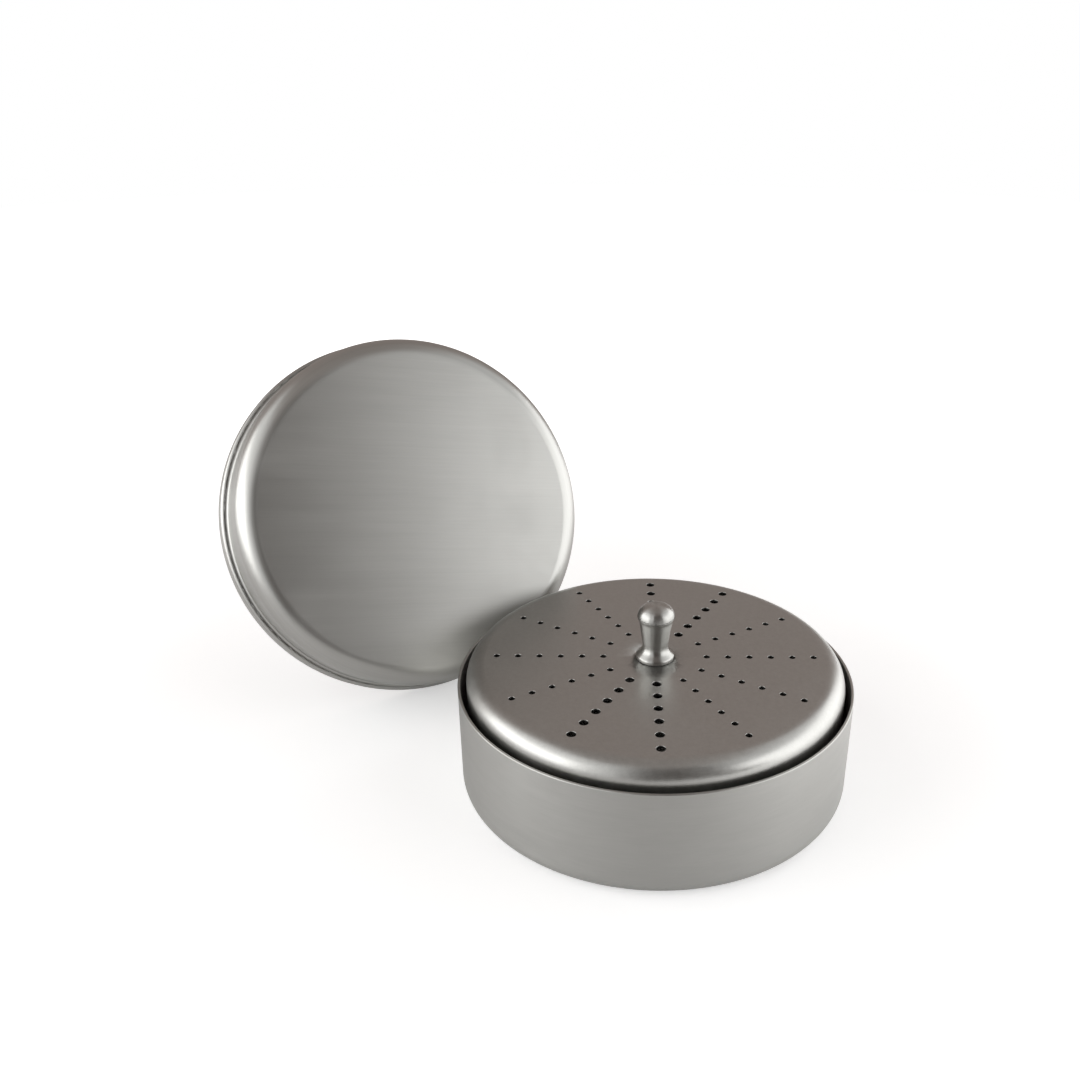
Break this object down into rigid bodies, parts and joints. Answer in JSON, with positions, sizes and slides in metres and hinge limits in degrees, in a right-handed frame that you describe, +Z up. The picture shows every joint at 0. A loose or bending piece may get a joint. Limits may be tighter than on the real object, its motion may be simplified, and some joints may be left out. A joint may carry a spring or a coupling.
{
  "type": "dental bur holder",
  "caption": "Round metal holder for dental burs: a drawn cup, a lift-out perforated rack with a turned centre knob, and a stepped lid standing beside it.",
  "frame": {"origin": "centre of the underside of the base cup, on the surface it stands on", "axes": "+Z up along the cup's axis, +X to the right and -Y towards the user; the lid stands behind and to the left"},
  "size_m": [0.1892, 0.1568, 0.1088],
  "materials": {
    "cup_steel": "satin, drawn sheet",
    "rack_steel": "satin, drawn and punched sheet",
    "inner_steel": "plain satin sheet",
    "fastener_steel": "machined",
    "knob_steel": "turned, fine polish",
    "lid_steel": "satin wall, straight brush lines across the face"
  },
  "bodies": {
    "base": {"base_cup": "cup_steel"},
    "rack": {"rack_plate": "rack_steel", "rest_plate": "inner_steel", "spacer_tube": "inner_steel", "clamp_stud": "fastener_steel", "clamp_washer": "fastener_steel", "clamp_nut": "fastener_steel", "knob": "knob_steel"},
    "lid": {"lid_shell": "lid_steel"}
  },
  "joints": [
    {"name": "rack_lift", "type": "slide", "parent": "base", "child": "rack", "axis": [0, 0, 1], "range_m": [0, 0.045]},
    {"name": "lid_lift", "type": "slide", "parent": "base", "child": "lid", "axis": [0, 0, 1], "range_m": [0, 0.06]}
  ]
}
